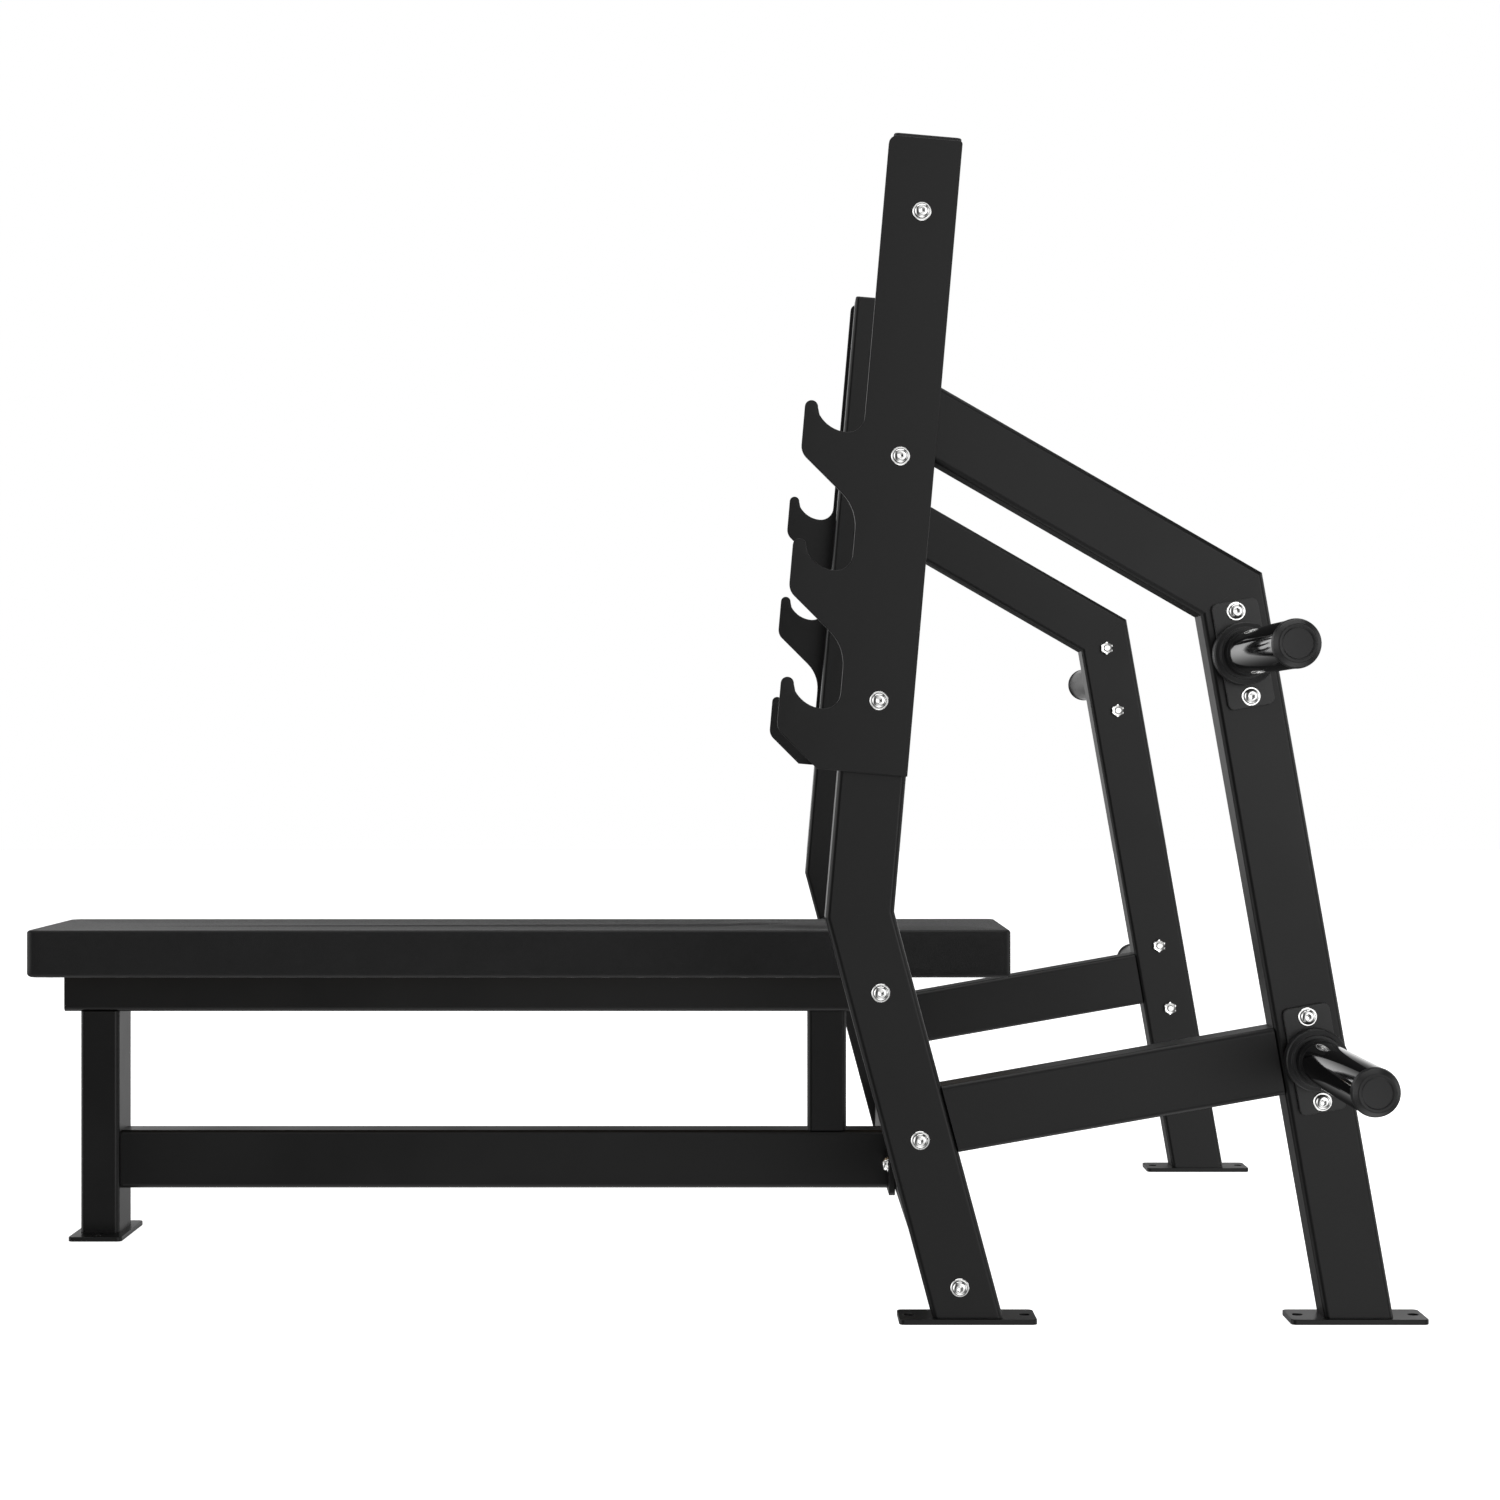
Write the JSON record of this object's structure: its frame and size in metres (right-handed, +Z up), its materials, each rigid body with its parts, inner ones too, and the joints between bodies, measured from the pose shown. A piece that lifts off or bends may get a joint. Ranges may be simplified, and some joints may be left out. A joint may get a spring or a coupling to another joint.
{
  "type": "olympic bench press",
  "caption": "Flat bench between two side frames with three-position bar hooks at each side and plate-storage horns at the rear, for lying barbell presses.",
  "frame": {"origin": "on the floor, under the middle of the whole object's bounding box", "axes": "+X from the lifter's feet towards the rear of the rack, +Y to the lifter's right, +Z up"},
  "size_m": [1.6851, 1.8186, 1.3257],
  "materials": {
    "powder_coat_black": "satin black powder coat",
    "zinc_plated_steel": "bright zinc plate",
    "black_plastic": "moulded, fine matte grain",
    "black_vinyl": "upholstery vinyl with a fine grain",
    "plywood": "raw plywood, hidden under the cover"
  },
  "bodies": {
    "root": {"upright_tube_left": "powder_coat_black", "front_leg_tube_left": "powder_coat_black", "rear_arm_tube_left": "powder_coat_black", "rear_leg_tube_left": "powder_coat_black", "side_brace_tube_left": "powder_coat_black", "front_foot_plate_left": "powder_coat_black", "rear_foot_plate_left": "powder_coat_black", "hook_plate_left": "powder_coat_black", "hook_bolt_1_left": "zinc_plated_steel", "hook_bolt_2_left": "zinc_plated_steel", "hook_bolt_3_left": "zinc_plated_steel", "leg_bolt_1_left": "zinc_plated_steel", "leg_bolt_2_left": "zinc_plated_steel", "leg_bolt_3_left": "zinc_plated_steel", "upper_horn_left": "powder_coat_black", "upper_horn_collar_left": "black_plastic", "upper_horn_cap_left": "black_plastic", "upper_horn_bolt_top_left": "zinc_plated_steel", "upper_horn_bolt_bottom_left": "zinc_plated_steel", "lower_horn_left": "powder_coat_black", "lower_horn_collar_left": "black_plastic", "lower_horn_cap_left": "black_plastic", "lower_horn_bolt_top_left": "zinc_plated_steel", "lower_horn_bolt_bottom_left": "zinc_plated_steel", "upright_tube_right": "powder_coat_black", "front_leg_tube_right": "powder_coat_black", "rear_arm_tube_right": "powder_coat_black", "rear_leg_tube_right": "powder_coat_black", "side_brace_tube_right": "powder_coat_black", "front_foot_plate_right": "powder_coat_black", "rear_foot_plate_right": "powder_coat_black", "hook_plate_right": "powder_coat_black", "hook_bolt_1_right": "zinc_plated_steel", "hook_bolt_2_right": "zinc_plated_steel", "hook_bolt_3_right": "zinc_plated_steel", "leg_bolt_1_right": "zinc_plated_steel", "leg_bolt_2_right": "zinc_plated_steel", "leg_bolt_3_right": "zinc_plated_steel", "upper_horn_right": "powder_coat_black", "upper_horn_collar_right": "black_plastic", "upper_horn_cap_right": "black_plastic", "upper_horn_bolt_top_right": "zinc_plated_steel", "upper_horn_bolt_bottom_right": "zinc_plated_steel", "lower_horn_right": "powder_coat_black", "lower_horn_collar_right": "black_plastic", "lower_horn_cap_right": "black_plastic", "lower_horn_bolt_top_right": "zinc_plated_steel", "lower_horn_bolt_bottom_right": "zinc_plated_steel", "crossbeam": "powder_coat_black", "bench_front_leg": "powder_coat_black", "bench_foot_plate": "powder_coat_black", "bench_top_beam": "powder_coat_black", "bench_mid_leg": "powder_coat_black", "bench_rail": "powder_coat_black", "rail_bolt_left": "zinc_plated_steel", "rail_bolt_right": "zinc_plated_steel", "pad": "black_vinyl", "pad_board": "plywood", "pad_bolt_front": "zinc_plated_steel", "pad_bolt_rear": "zinc_plated_steel"}
  },
  "joints": []
}
